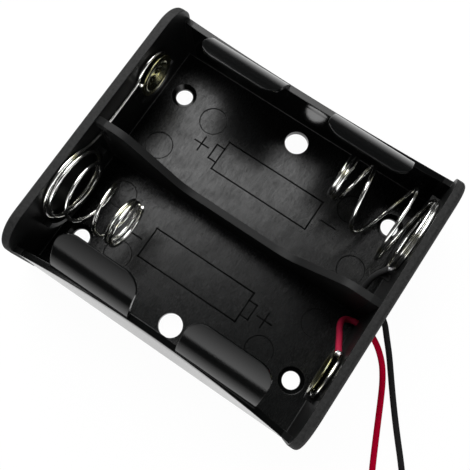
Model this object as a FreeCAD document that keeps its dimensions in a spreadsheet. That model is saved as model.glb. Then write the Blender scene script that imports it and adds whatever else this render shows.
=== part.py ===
"""Holder for two round cells, side by side and head to tail, wired in series.

A moulded tray with a saddle-shaped divider and four clip tabs carries bent-wire contacts.
One wire makes the spring of the lower bay and the ring round the button of the upper bay.
Millimetres. +Z is up, the floor's underside is z = 0, and X runs along the cells.
"""
import FreeCAD, Part
import math
import os

import Sketcher

Vector = FreeCAD.Vector

document = FreeCAD.newDocument("cell_holder")
sizes = document.addObject("Spreadsheet::Sheet", "Sizes")

SIZES = [
    ("cell_diameter", 26.2, "round cell that each bay takes"),
    ("bay_pitch", 28.0, "between the axes of the two cells"),
    ("body_length", 68.0, "over both end plates"),
    ("foot_spread", 1.7, "feet of the side walls stand outside the cells' walls"),
    ("floor_thickness", 1.6, "moulded floor"),
    ("wall_thickness", 1.3, "side walls"),
    ("plate_thickness", 2.2, "end plates"),
    ("plate_proud", 0.1, "end plates stand proud of the walls' feet"),
    ("plate_height", 22.2, "end plates"),
    ("plate_corner", 6.8, "rounded upper corners of the end plates"),
    ("plate_edge_round", 1.1, "rounded outer rim of the end plates"),
    ("rim_height_middle", 18.3, "top of the side walls, halfway along"),
    ("rim_height_end", 15.4, "top of the side walls, at the end plates"),
    ("rim_end_setback", 0.3, "side wall inside the end plate's edge"),
    ("tab_gap", 10.8, "between the two clip tabs of one wall"),
    ("tab_length", 17.8, "each clip tab, along the cell"),
    ("tab_thickness", 1.3, "clip tabs, at the rim"),
    ("tab_tip_thickness", 0.5, "clip tabs, at the tip"),
    ("tab_tip_angle", 59.0, "how far a tab reaches over its cell"),
    ("tab_corner", 3.6, "rounded corners of a tab's tip"),
    ("tab_root_depth", 6.0, "a tab's root runs down into its wall"),
    ("divider_thickness", 1.5, "wall between the bays"),
    ("divider_height", 21.7, "at the end plates"),
    ("saddle_height", 10.9, "low middle of the divider"),
    ("saddle_length", 19.4, "level part of the low middle"),
    ("saddle_slope", 41.0, "slope of the divider's shoulders"),
    ("saddle_foot_radius", 8.0, "hollow at the foot of the slope"),
    ("saddle_shoulder_radius", 5.0, "round at the top of the slope"),
    ("mount_length", 54.0, "corner holes, along"),
    ("mount_width", 39.0, "corner holes, across"),
    ("mount_hole", 3.8, "corner holes"),
    ("mount_countersink", 5.6, "corner holes, at the top of the floor"),
    ("side_hole", 5.2, "holes beside the walls, halfway along"),
    ("side_hole_inset", 4.6, "their middles inside the walls' feet"),
    ("pin_mark", 6.1, "sunk marks of the mould's ejector pins"),
    ("pin_mark_depth", 0.12, "sunk marks of the mould's ejector pins"),
    ("inner_mark_length", 49.8, "marks near the divider, along"),
    ("inner_mark_width", 13.6, "marks near the divider, across"),
    ("outer_mark_length", 36.2, "marks near the side walls, along"),
    ("outer_mark_width", 36.2, "marks near the side walls, across"),
    ("wire_diameter", 0.8, "contact wire"),
    ("wire_clearance", 0.05, "between contact wire and end plate"),
    ("seat_clearance", 0.3, "between a ring and its cradle"),
    ("button_height", 15.0, "middle of both buttons"),
    ("cradle_depth", 1.8, "cradles stand out from the end plates"),
    ("cradle_rim", 1.2, "thickness of a cradle's rib"),
    ("cradle_top", 12.0, "top of the cradles"),
    ("bridge_base_across", 12.2, "base of the lower bay's spring from the middle"),
    ("bridge_base_height", 13.6, "middle of its base"),
    ("bridge_base", 16.2, "its base ring, at the wire's middle"),
    ("bridge_tip_across", 13.3, "its tip from the middle"),
    ("bridge_tip_height", 15.1, "middle of its tip"),
    ("bridge_tip", 9.7, "its tip ring, at the wire's middle"),
    ("bridge_reach", 15.5, "its tip from the end plate"),
    ("negative_base_across", 16.6, "base of the upper bay's spring from the middle"),
    ("negative_base_height", 12.8, "middle of its base"),
    ("negative_base", 16.4, "its base ring, at the wire's middle"),
    ("negative_tip_across", 18.7, "its tip from the middle"),
    ("negative_tip_height", 15.5, "middle of its tip"),
    ("negative_tip", 9.0, "its tip ring, at the wire's middle"),
    ("negative_reach", 19.1, "its tip from the end plate"),
    ("button_across", 15.7, "both buttons from the middle"),
    ("button_ring", 9.1, "ring behind a button, at the wire's middle"),
    ("button_disc", 9.5, "pressed disc on the front of its ring"),
    ("button_sheet", 0.35, "nickelled sheet of a button"),
    ("button_well", 5.4, "flat middle of a button"),
    ("button_well_depth", 0.85, "its middle lies behind its rim"),
    ("bridge_height", 16.6, "bridge wire where it crosses the divider"),
    ("window_length", 2.3, "opening in the divider for the bridge wire"),
    ("window_height", 4.4, "opening in the divider for the bridge wire"),
    ("lead_diameter", 1.3, "insulated lead"),
    ("lead_core", 0.7, "tinned strands of a lead"),
    ("lead_core_length", 4.0, "bare tinned end"),
    ("lead_hole_across", 2.4, "lead holes from the middle"),
    ("lead_hole_height", 4.2, "lead holes"),
    ("lead_hole_clearance", 0.4, "lead holes over the lead"),
    ("solder_diameter", 1.6, "solder joints"),
    ("coil_diameter", 14.0, "stored coil of a lead, at the middle of its turns"),
    ("coil_bundle", 2.8, "section of a stored coil"),
    ("tie_thickness", 0.25, "band round a stored coil"),
    ("tie_angle", 20.0, "width of the band, as an angle of the coil"),
]

for row, (alias, number, meaning) in enumerate(SIZES, start=1):
    sizes.set(f"A{row}", str(number))
    sizes.setAlias(f"A{row}", alias)
    sizes.set(f"B{row}", meaning)
document.recompute()


def expression(text):
    """Put the sheet's name before every alias in a formula."""
    words = {alias for alias, number, meaning in SIZES}
    result = ""
    word = ""
    for letter in text + " ":
        if letter.isalnum() or letter == "_":
            word += letter
            continue
        result += f"Sizes.{word}" if word in words else word
        result += letter
        word = ""
    return result.strip()


def value(text):
    """The number that a formula of sheet values gives."""
    return float(sizes.evalExpression(expression(text)))


INNER_X = "(body_length / 2 - plate_thickness)"
WIRE_X = f"({INNER_X} - wire_diameter / 2 - wire_clearance)"
AXIS_Y = "(bay_pitch / 2)"
AXIS_Z = "(floor_thickness + cell_diameter / 2)"
TAB_MIDDLE = "(cell_diameter / 2 + tab_thickness / 2)"
BASE_HALF = "((bay_pitch + cell_diameter) / 2 + wall_thickness + foot_spread)"
PLATE_HALF = f"({BASE_HALF} + plate_proud)"


def bind(item, **formulas):
    """Bind properties to formulas; two underscores stand for a dot."""
    for name, text in formulas.items():
        item.setExpression(name.replace("__", "."), expression(text))
    return item


def new_body(label):
    body = document.addObject("PartDesign::Body", label)
    body.Label = label
    return body


def plane_of(body, role):
    return next(feature for feature in body.Origin.OriginFeatures if feature.Role == role)


def new_sketch(body, name, role, offset="0"):
    """A sketch on one of the body's own planes, moved along the plane's normal."""
    sketch = body.newObject("Sketcher::SketchObject", name)
    sketch.AttachmentSupport = (plane_of(body, role), [""])
    sketch.MapMode = "FlatFace"
    bind(sketch, AttachmentOffset__Base__z=offset)
    return sketch


def place(corner):
    return Vector(value(corner[0]), value(corner[1]), 0)


def pin_point(sketch, geometry, position, corner):
    """Hold a point of the sketch at two formulas."""
    spot = place(corner)
    for kind, number, text in (("DistanceX", spot.x, corner[0]), ("DistanceY", spot.y, corner[1])):
        index = sketch.addConstraint(Sketcher.Constraint(kind, geometry, position, number))
        sketch.setExpression(f"Constraints[{index}]", expression(text))


def arc_between(start, middle, end):
    """The arc as the sketch wants it, anticlockwise, and which of its ends is the start."""
    centre = Part.Circle(start, middle, end).Center
    turn = (middle - start).cross(end - middle).z
    first, last = (start, end) if turn > 0 else (end, start)
    first_angle = math.atan2(first.y - centre.y, first.x - centre.x)
    last_angle = math.atan2(last.y - centre.y, last.x - centre.x)
    if last_angle < first_angle:
        last_angle += 2 * math.pi
    circle = Part.Circle(centre, Vector(0, 0, 1), (start - centre).Length)
    return Part.ArcOfCircle(circle, first_angle, last_angle), 1 if turn > 0 else 2


def draw_outline(sketch, corners, bends=None):
    """Close an outline through its corners; a side in bends is an arc through that point."""
    bends = bends or {}
    points = [place(corner) for corner in corners]
    ends = []
    for side, start in enumerate(points):
        end = points[(side + 1) % len(points)]
        if side in bends:
            arc, start_position = arc_between(start, place(bends[side]), end)
            ends.append((sketch.addGeometry(arc), start_position))
        else:
            ends.append((sketch.addGeometry(Part.LineSegment(start, end)), 1))
    for side, (geometry, position) in enumerate(ends):
        following, following_position = ends[(side + 1) % len(ends)]
        join = Sketcher.Constraint(
            "Coincident", geometry, 3 - position, following, following_position
        )
        sketch.addConstraint(join)
        pin_point(sketch, geometry, position, corners[side])
    for side, corner in bends.items():
        dot = sketch.addGeometry(Part.Point(place(corner)), True)
        pin_point(sketch, dot, 1, corner)
        sketch.addConstraint(Sketcher.Constraint("PointOnObject", dot, 1, ends[side][0]))


def draw_circle(sketch, corner, diameter):
    circle = Part.Circle(place(corner), Vector(0, 0, 1), value(diameter) / 2)
    geometry = sketch.addGeometry(circle)
    pin_point(sketch, geometry, 3, corner)
    index = sketch.addConstraint(Sketcher.Constraint("Diameter", geometry, value(diameter)))
    sketch.setExpression(f"Constraints[{index}]", expression(diameter))


def pad(body, name, sketch, length, midplane=False):
    feature = body.newObject("PartDesign::Pad", name)
    feature.Profile = sketch
    feature.SideType = "Symmetric" if midplane else "One side"
    bind(feature, Length=length)
    sketch.Visibility = False
    return feature


def pocket(body, name, sketch, length, reverse=False):
    """Cut a sketch into the body and make sure that it really cuts."""
    before = body.Tip.Shape.Volume
    feature = body.newObject("PartDesign::Pocket", name)
    feature.Profile = sketch
    feature.SideType = "One side"
    feature.Reversed = reverse
    bind(feature, Length=length)
    document.recompute()
    if feature.Shape.Volume >= before:
        raise RuntimeError(f"{name} cuts nothing")
    return feature


def mirrored(body, name, originals, role):
    feature = body.newObject("PartDesign::Mirrored", name)
    feature.Originals = originals
    feature.MirrorPlane = (plane_of(body, role), [""])
    body.Tip = feature
    document.recompute()
    return feature


def edge_names(shape, wanted):
    return [f"Edge{number}" for number, edge in enumerate(shape.Edges, 1) if wanted(edge)]


def round_edges(body, name, wanted, radius):
    document.recompute()
    base = body.Tip
    feature = body.newObject("PartDesign::Fillet", name)
    feature.Base = (base, edge_names(base.Shape, wanted))
    bind(feature, Radius=radius)
    document.recompute()
    return feature


def add_floor(body):
    half_x = f"({INNER_X} + plate_thickness / 2)"
    half_y = f"({BASE_HALF} - wall_thickness / 2)"
    sketch = new_sketch(body, "floor_outline", "XY_Plane")
    draw_outline(sketch, [
        (f"-{half_x}", f"-{half_y}"),
        (half_x, f"-{half_y}"),
        (half_x, half_y),
        (f"-{half_x}", half_y),
    ])
    pad(body, "floor", sketch, "floor_thickness")


def add_end_plates(body):
    half = PLATE_HALF
    flat = f"({PLATE_HALF} - plate_corner)"
    shoulder = "(plate_height - plate_corner)"
    reach = "plate_corner * cos(45)"
    sketch = new_sketch(body, "end_plate_outline", "YZ_Plane", INNER_X)
    draw_outline(sketch, [
        (f"-{half}", "0"),
        (half, "0"),
        (half, shoulder),
        (flat, "plate_height"),
        (f"-{flat}", "plate_height"),
        (f"-{half}", shoulder),
    ], {
        2: (f"{flat} + {reach}", f"{shoulder} + {reach}"),
        4: (f"-{flat} - {reach}", f"{shoulder} + {reach}"),
    })
    plate = pad(body, "right_end_plate", sketch, "plate_thickness")
    document.recompute()
    mirrored(body, "left_end_plate", [plate], "YZ_Plane")

    def on_outer_rim(edge):
        box = edge.BoundBox
        outer = abs(abs(box.XMin) - value("body_length") / 2) < 1e-4
        return outer and box.XLength < 1e-4 and box.ZMax > 1e-3

    round_edges(body, "end_plate_rims", on_outer_rim, "plate_edge_round")


def end_wall_section():
    """Corners of the side wall where it meets an end plate, and no bends."""
    outer_foot = BASE_HALF
    outer_rim = f"({PLATE_HALF} - rim_end_setback)"
    knee = "(rim_height_end * 0.8)"
    return [
        (f"{outer_foot} - wall_thickness", "0"),
        (outer_foot, "0"),
        (outer_rim, knee),
        (outer_rim, "rim_height_end"),
        (f"{outer_rim} - wall_thickness", "rim_height_end"),
        (f"{outer_rim} - wall_thickness", knee),
    ]


def middle_wall_section():
    """Corners of the side wall halfway along, where it closes round the cell."""
    inner = "(cell_diameter / 2)"
    outer = "(cell_diameter / 2 + wall_thickness)"
    rise = f"(rim_height_middle - {AXIS_Z})"
    half_rise = f"({rise} / 2)"
    corners = [
        (f"{BASE_HALF} - wall_thickness", "0"),
        (BASE_HALF, "0"),
        (f"{AXIS_Y} + {outer}", AXIS_Z),
        (f"{AXIS_Y} + sqrt({outer} ^ 2 - {rise} ^ 2)", "rim_height_middle"),
        (f"{AXIS_Y} + sqrt({inner} ^ 2 - {rise} ^ 2)", "rim_height_middle"),
        (f"{AXIS_Y} + {inner}", AXIS_Z),
    ]
    bends = {
        2: (f"{AXIS_Y} + sqrt({outer} ^ 2 - {half_rise} ^ 2)", f"{AXIS_Z} + {half_rise}"),
        4: (f"{AXIS_Y} + sqrt({inner} ^ 2 - {half_rise} ^ 2)", f"{AXIS_Z} + {half_rise}"),
    }
    return corners, bends


def add_side_walls(body):
    end_x = f"({INNER_X} + plate_thickness / 2)"
    sections = []
    for name, offset in (("left", f"-{end_x}"), ("middle", "0"), ("right", end_x)):
        sketch = new_sketch(body, f"side_wall_{name}", "YZ_Plane", offset)
        if name == "middle":
            draw_outline(sketch, *middle_wall_section())
        else:
            draw_outline(sketch, end_wall_section())
        sections.append(sketch)
    loft = body.newObject("PartDesign::AdditiveLoft", "upper_side_wall")
    loft.Profile = sections[0]
    loft.Sections = sections[1:]
    document.recompute()
    mirrored(body, "lower_side_wall", [loft], "XZ_Plane")


def add_divider(body):
    end_x = f"({INNER_X} + plate_thickness / 2)"
    level = "(saddle_length / 2)"
    foot_x = f"({level} + saddle_foot_radius * sin(saddle_slope))"
    foot_z = "(saddle_height + saddle_foot_radius * (1 - cos(saddle_slope)))"
    top_z = "(divider_height - saddle_shoulder_radius * (1 - cos(saddle_slope)))"
    top_x = f"({foot_x} + ({top_z} - {foot_z}) / tan(saddle_slope))"
    crest_x = f"({top_x} + saddle_shoulder_radius * sin(saddle_slope))"
    foot_bend = (
        f"({level} + saddle_foot_radius * sin(saddle_slope / 2))",
        "saddle_height + saddle_foot_radius * (1 - cos(saddle_slope / 2))",
    )
    shoulder_bend = (
        f"({crest_x} - saddle_shoulder_radius * sin(saddle_slope / 2))",
        "divider_height - saddle_shoulder_radius * (1 - cos(saddle_slope / 2))",
    )
    right = [
        (end_x, "divider_height"),
        (crest_x, "divider_height"),
        (top_x, top_z),
        (foot_x, foot_z),
        (level, "saddle_height"),
    ]
    left = [(f"-{across}", up) for across, up in reversed(right)]
    sketch = new_sketch(body, "divider_outline", "XZ_Plane")
    corners = [(f"-{end_x}", "floor_thickness / 2"), (end_x, "floor_thickness / 2")]
    draw_outline(sketch, corners + right + left, {
        3: shoulder_bend,
        5: foot_bend,
        7: (f"-{foot_bend[0]}", foot_bend[1]),
        9: (f"-{shoulder_bend[0]}", shoulder_bend[1]),
    })
    pad(body, "divider", sketch, "divider_thickness", midplane=True)


def add_clip_tabs(body):
    """Curved tabs round the cells' axes, drawn for both walls and mirrored to the other end."""
    inner = "(cell_diameter / 2)"
    outer = "(cell_diameter / 2 + tab_thickness)"
    halfway = "(cell_diameter / 2 + (tab_thickness + tab_tip_thickness) / 2)"
    tip = "(cell_diameter / 2 + tab_tip_thickness)"
    root_z = f"({AXIS_Z} - tab_root_depth)"
    foot_lean = f"(({BASE_HALF} - {AXIS_Y} - {outer}) * tab_root_depth / {AXIS_Z})"
    sketch = new_sketch(body, "clip_tab_section", "YZ_Plane", "tab_gap / 2")
    for sign in ("", "-"):
        corners = []
        bends = {}
        for radius, angle in ((outer, "0"), (tip, "tab_tip_angle"), (inner, "tab_tip_angle"),
                              (inner, "0")):
            across = f"({AXIS_Y} + {radius} * cos({angle}))"
            corners.append((f"{sign}{across}", f"{AXIS_Z} + {radius} * sin({angle})"))
        for side, radius in ((0, halfway), (2, inner)):
            across = f"({AXIS_Y} + {radius} * cos(tab_tip_angle / 2))"
            bends[side] = (f"{sign}{across}", f"{AXIS_Z} + {radius} * sin(tab_tip_angle / 2)")
        corners.append((f"{sign}({AXIS_Y} + {outer} + {foot_lean} - wall_thickness / 2)", root_z))
        draw_outline(sketch, corners, bends)
    tabs = pad(body, "right_clip_tabs", sketch, "tab_length")
    document.recompute()
    mirrored(body, "left_clip_tabs", [tabs], "YZ_Plane")
    tip_z = value(f"{AXIS_Z} + {inner} * sin(tab_tip_angle)")
    ends = [value("tab_gap / 2"), value("tab_gap / 2 + tab_length")]

    def at_tip_corner(edge):
        box = edge.BoundBox
        at_end = min(abs(abs(box.XMin) - end) for end in ends) < 1e-4
        short = abs(edge.Length - value("tab_tip_thickness")) < 1e-3
        return at_end and short and box.XLength < 1e-4 and box.ZMin > tip_z - 1e-3

    round_edges(body, "clip_tab_corners", at_tip_corner, "tab_corner")


def cradle_outline(sketch, across, height, ring):
    """A rib bent round the lower half of a contact's ring."""
    inner = f"(({ring} + wire_diameter) / 2 + seat_clearance)"
    outer = f"({inner} + cradle_rim)"
    inner_end = f"sqrt({inner} ^ 2 - ({height} - cradle_top) ^ 2)"
    outer_end = f"sqrt({outer} ^ 2 - ({height} - cradle_top) ^ 2)"
    draw_outline(sketch, [
        (f"{across} - {outer_end}", "cradle_top"),
        (f"{across} + {outer_end}", "cradle_top"),
        (f"{across} + {inner_end}", "cradle_top"),
        (f"{across} - {inner_end}", "cradle_top"),
    ], {0: (across, f"{height} - {outer}"), 2: (across, f"{height} - {inner}")})


def add_cradles(body):
    """A cradle on the end plates under each of the four contacts."""
    root_x = f"({INNER_X} + plate_thickness / 2)"
    front_x = f"({INNER_X} - cradle_depth)"
    depth = "(cradle_depth + plate_thickness / 2)"
    contacts = {
        "bridge_spring": ("left", "-bridge_base_across", "bridge_base_height", "bridge_base"),
        "left_button": ("left", "button_across", "button_height", "button_ring"),
        "negative_spring": (
            "right", "negative_base_across", "negative_base_height", "negative_base"
        ),
        "right_button": ("right", "-button_across", "button_height", "button_ring"),
    }
    for name, (end, across, height, ring) in contacts.items():
        start = f"-{root_x}" if end == "left" else front_x
        sketch = new_sketch(body, f"{name}_cradle_outline", "YZ_Plane", start)
        cradle_outline(sketch, across, height, ring)
        pad(body, f"{name}_cradle", sketch, depth)
    document.recompute()


def add_openings(body):
    """Screw holes, side holes, ejector marks, the wire's window and the lead holes."""
    sketch = new_sketch(body, "screw_hole_centres", "XY_Plane", "floor_thickness")
    for along, across in ((-1, -1), (1, -1), (1, 1), (-1, 1)):
        centre = (f"{along} * mount_length / 2", f"{across} * mount_width / 2")
        draw_circle(sketch, centre, "mount_hole")
    document.recompute()
    hole = body.newObject("PartDesign::Hole", "screw_holes")
    hole.Profile = sketch
    hole.ThreadType = 0
    hole.Threaded = False
    hole.DepthType = "ThroughAll"
    bind(hole, Diameter="mount_hole")
    hole.HoleCutType = "Countersink"
    hole.HoleCutCustomValues = True
    bind(hole, HoleCutDiameter="mount_countersink")
    hole.HoleCutCountersinkAngle = 90
    document.recompute()

    sketch = new_sketch(body, "side_hole_centres", "XY_Plane", "floor_thickness")
    for across in (-1, 1):
        centre = ("0", f"{across} * ({BASE_HALF} - wall_thickness - side_hole_inset)")
        draw_circle(sketch, centre, "side_hole")
    pocket(body, "side_holes", sketch, "floor_thickness")

    sketch = new_sketch(body, "ejector_mark_centres", "XY_Plane", "floor_thickness")
    for along, across in ((-1, -1), (1, -1), (1, 1), (-1, 1)):
        for row in ("inner", "outer"):
            centre = (f"{along} * {row}_mark_length / 2", f"{across} * {row}_mark_width / 2")
            draw_circle(sketch, centre, "pin_mark")
    pocket(body, "ejector_marks", sketch, "pin_mark_depth")

    sketch = new_sketch(body, "bridge_window_outline", "XZ_Plane", "-divider_thickness")
    draw_outline(sketch, [
        (f"-{INNER_X}", "bridge_height - window_height / 2"),
        (f"-{INNER_X} + window_length", "bridge_height - window_height / 2"),
        (f"-{INNER_X} + window_length", "bridge_height + window_height / 2"),
        (f"-{INNER_X}", "bridge_height + window_height / 2"),
    ])
    pocket(body, "bridge_window", sketch, "2 * divider_thickness", reverse=True)

    sketch = new_sketch(body, "lead_hole_centres", "YZ_Plane", "body_length / 2")
    for across in (-1, 1):
        centre = (f"{across} * lead_hole_across", "lead_hole_height")
        draw_circle(sketch, centre, "lead_diameter + lead_hole_clearance")
    pocket(body, "lead_holes", sketch, "plate_thickness")


def holder_body():
    body = new_body("holder_body")
    add_floor(body)
    add_end_plates(body)
    add_side_walls(body)
    add_divider(body)
    add_clip_tabs(body)
    add_cradles(body)
    add_openings(body)
    return body


def button(label, end, across):
    """A dished disc, turned about its own axis and set on the front of its ring."""
    body = new_body(label)
    rim = "(button_disc / 2)"
    well = "(button_well / 2)"
    shoulder = f"({well} + button_well_depth)"
    back = "(button_well_depth + button_sheet)"
    sketch = new_sketch(body, f"{label}_section", "XZ_Plane")
    draw_outline(sketch, [
        ("0", "button_well_depth"),
        (well, "button_well_depth"),
        (shoulder, "0"),
        (rim, "0"),
        (rim, "button_sheet"),
        (f"{shoulder} + button_sheet / 2", "button_sheet"),
        (f"{well} + button_sheet / 2", back),
        ("0", back),
    ])
    turned = body.newObject("PartDesign::Revolution", f"{label}_disc")
    turned.Profile = sketch
    turned.ReferenceAxis = (sketch, ["V_Axis"])
    turned.Angle = 360
    body.Placement = FreeCAD.Placement(
        Vector(0, 0, 0), FreeCAD.Rotation(Vector(0, 1, 0), -90 if end < 0 else 90)
    )
    front = f"({WIRE_X} - 1.5 * wire_diameter - wire_clearance - button_sheet)"
    bind(body, Placement__Base__x=f"{end} * {front}", Placement__Base__y=across,
         Placement__Base__z="button_height")
    return body


def bent_path(points, label):
    """Straight runs through the points, joined by tangent arcs as large as the runs allow."""
    share = 0.45
    edges = []
    start = points[0]
    radii = []
    for before, corner, after in zip(points, points[1:], points[2:]):
        inward = before - corner
        outward = after - corner
        turn = math.pi - inward.getAngle(outward)
        reach = share * min(inward.Length, outward.Length)
        radii.append(reach / math.tan(turn / 2))
        first = corner + Vector(inward).normalize() * reach
        last = corner + Vector(outward).normalize() * reach
        bisector = (Vector(inward).normalize() + Vector(outward).normalize()).normalize()
        depth = radii[-1] / math.cos(turn / 2) - radii[-1]
        edges.append(Part.LineSegment(start, first).toShape())
        edges.append(Part.Arc(first, corner + bisector * depth, last).toShape())
        start = last
    edges.append(Part.LineSegment(start, points[-1]).toShape())
    path = Part.Wire(edges)
    print(f"{label}: length {path.Length:.1f}, smallest bend radius {min(radii):.2f}")
    return path


def tube_shape(points, diameter, label):
    """A round wire along a bent path, with its volume compared to section times length."""
    path = bent_path(points, label)
    heading = points[1] - points[0]
    circle = Part.Wire([Part.Circle(points[0], heading, diameter / 2).toShape()])
    shape = path.makePipeShell([circle], True, False)
    expected = math.pi * diameter ** 2 / 4 * path.Length
    if abs(shape.Volume / expected - 1) > 0.01:
        raise RuntimeError(f"{label}: volume {shape.Volume:.2f}, expected {expected:.2f}")
    return shape


def part_from(label, shape):
    feature = document.addObject("Part::Feature", label)
    feature.Label = label
    feature.Shape = shape
    feature.Placement = FreeCAD.Placement()
    return feature


POINTS_PER_TURN = 8
VERTEX_GAIN = 1 / 0.928


def spring_points(stations):
    """Points round a coil between stations of angle, x, radius, and the axis' y and z."""
    points = []
    step = 360 / POINTS_PER_TURN
    for (angle, *first), (next_angle, *last) in zip(stations, stations[1:]):
        count = max(1, round(abs(next_angle - angle) / step))
        for index in range(count):
            share = index / count
            x, radius, y, z = [a + (b - a) * share for a, b in zip(first, last)]
            points.append((angle + (next_angle - angle) * share, x, radius, y, z))
    points.append(stations[-1])
    result = []
    for index, (angle, x, radius, y, z) in enumerate(points):
        gain = 1 if index in (0, len(points) - 1) else VERTEX_GAIN
        turn = math.radians(angle)
        result.append(Vector(
            x, y + gain * radius * math.cos(turn), z + gain * radius * math.sin(turn)
        ))
    return result


# Half a turn a row: share of the way from base to tip, and share of the closing in from the
# base's radius to the tip's. The coils lean and stand unevenly, as bent by use.
BRIDGE_HALF_TURNS = [
    (0.0, 0.0), (0.06, 0.06), (0.062, 0.24), (0.17, 0.52), (0.275, 0.67), (0.54, 0.8),
    (0.705, 0.95), (0.88, 1.0), (0.886, 1.0), (0.94, 1.0), (0.967, 1.0), (1.0, 1.0),
]
NEGATIVE_HALF_TURNS = [
    (0.0, 0.0), (0.003, 0.0), (0.05, 0.0), (0.053, 0.03), (0.239, 0.08), (0.287, 0.22),
    (0.635, 0.38), (0.79, 0.73), (0.944, 1.0), (0.948, 1.0), (0.997, 1.0), (1.0, 1.0),
]


def half_turn_stations(first_angle, step, shares, base, tip):
    """Stations every half turn, from the values at the base to those at the tip."""
    stations = []
    for index, (along, closing) in enumerate(shares):
        x = base[0] + (tip[0] - base[0]) * along
        radius = base[1] + (tip[1] - base[1]) * closing
        y = base[2] + (tip[2] - base[2]) * along
        z = base[3] + (tip[3] - base[3]) * along
        stations.append((first_angle + step * index, x, radius, y, z))
    return stations


def bridge_spring():
    """Spring of the lower bay, bridge over the divider and ring of the upper bay, one wire."""
    wire = value("wire_diameter")
    pitch = wire + value("wire_clearance")
    back = -value(WIRE_X)
    base = (back, value("bridge_base / 2"), -value("bridge_base_across"),
            value("bridge_base_height"))
    tip = (-value(INNER_X) + value("bridge_reach"), value("bridge_tip / 2"),
           -value("bridge_tip_across"), value("bridge_tip_height"))
    ring = value("button_ring / 2")
    ring_y = value("button_across")
    bridge = value("bridge_height")
    crossing_y = -value("divider_thickness") * 2
    away = math.hypot(crossing_y - base[2], bridge - base[3])
    leave = math.degrees(
        math.atan2(bridge - base[3], crossing_y - base[2]) + math.acos(base[1] / away)
    )
    coil = spring_points(
        [(leave, *base)] + half_turn_stations(171, 180, BRIDGE_HALF_TURNS, base, tip)
    )
    coil.reverse()
    join = 150
    join_y = ring_y + ring * math.cos(math.radians(join))
    straight = [
        Vector(back, crossing_y, bridge),
        Vector(back, join_y - 2 * wire, bridge + wire / 4),
    ]
    height = value("button_height")
    loops = spring_points([
        (join, back, ring, ring_y, height),
        (join - 360, back + pitch, ring, ring_y, height),
    ])
    return part_from("bridge_spring", tube_shape(coil + straight + loops, wire, "bridge_spring"))


def negative_spring():
    """Conical spring of the upper bay; the black lead is soldered to its base."""
    base = (value(WIRE_X), value("negative_base / 2"), value("negative_base_across"),
            value("negative_base_height"))
    tip = (value(INNER_X) - value("negative_reach"), value("negative_tip / 2"),
           value("negative_tip_across"), value("negative_tip_height"))
    points = spring_points(half_turn_stations(165, -180, NEGATIVE_HALF_TURNS, base, tip))
    return part_from(
        "negative_spring", tube_shape(points, value("wire_diameter"), "negative_spring")
    )


def positive_ring():
    """Ring behind the right button; the red lead is soldered to its end."""
    wire = value("wire_diameter")
    pitch = wire + value("wire_clearance")
    back = value(WIRE_X)
    radius = value("button_ring / 2")
    across = -value("button_across")
    height = value("button_height")
    points = spring_points([
        (5, back - pitch, radius, across, height),
        (5 - 360, back, radius, across, height),
    ])
    return part_from("positive_ring", tube_shape(points, wire, "positive_ring"))


# Inside the holder: share of a lead's way from its solder joint to its hole, and how much
# further it stands from the end plate than the straight way.
RED_BOWS = [(0.18, 0.3), (0.44, 0.5), (0.78, 1.05)]
BLACK_BOWS = [(0.22, 1.1), (0.7, 0.9)]

# Outside: along from the end plate's outer face, across, and up.
RED_POINTS = [
    (0.0, -2.4, 4.2),
    (2.4, -3.0, 3.9),
    (6.2, -5.7, 2.2),
    (8.4, -8.4, 0.8),
    (9.9, -11.3, 0.7),
    (12.4, -16.9, 0.7),
    (15.6, -24.0, 0.7),
    (18.5, -29.9, 0.7),
    (20.3, -33.9, 0.7),
]
BLACK_POINTS = [
    (0.0, 2.4, 4.2),
    (2.2, 1.2, 3.9),
    (4.5, -1.2, 2.6),
    (6.9, -3.6, 1.2),
    (8.8, -6.0, 0.7),
    (12.6, -11.2, 0.7),
    (16.5, -16.2, 0.7),
    (20.4, -20.9, 0.7),
    (24.0, -25.7, 0.7),
    (26.8, -29.0, 0.7),
]


def inside_route(start, side, bows):
    """Points from a solder joint down to a lead hole and through the end plate."""
    lead = value("lead_diameter")
    across = side * value("lead_hole_across")
    height = value("lead_hole_height")
    inner = value(INNER_X)
    mouth = Vector(inner - 2 * lead, across * 1.25, height + lead * 0.4)
    points = [start]
    for share, bow in bows:
        points.append(start + (mouth - start) * share - Vector(bow, 0, 0))
    points.append(mouth)
    points.append(Vector(inner - lead * 0.3, across, height))
    points.append(Vector(value("body_length / 2"), across, height))
    return points


def cylinder_between(start, end, diameter):
    return Part.makeCylinder(diameter / 2, (end - start).Length, start, end - start)


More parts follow.
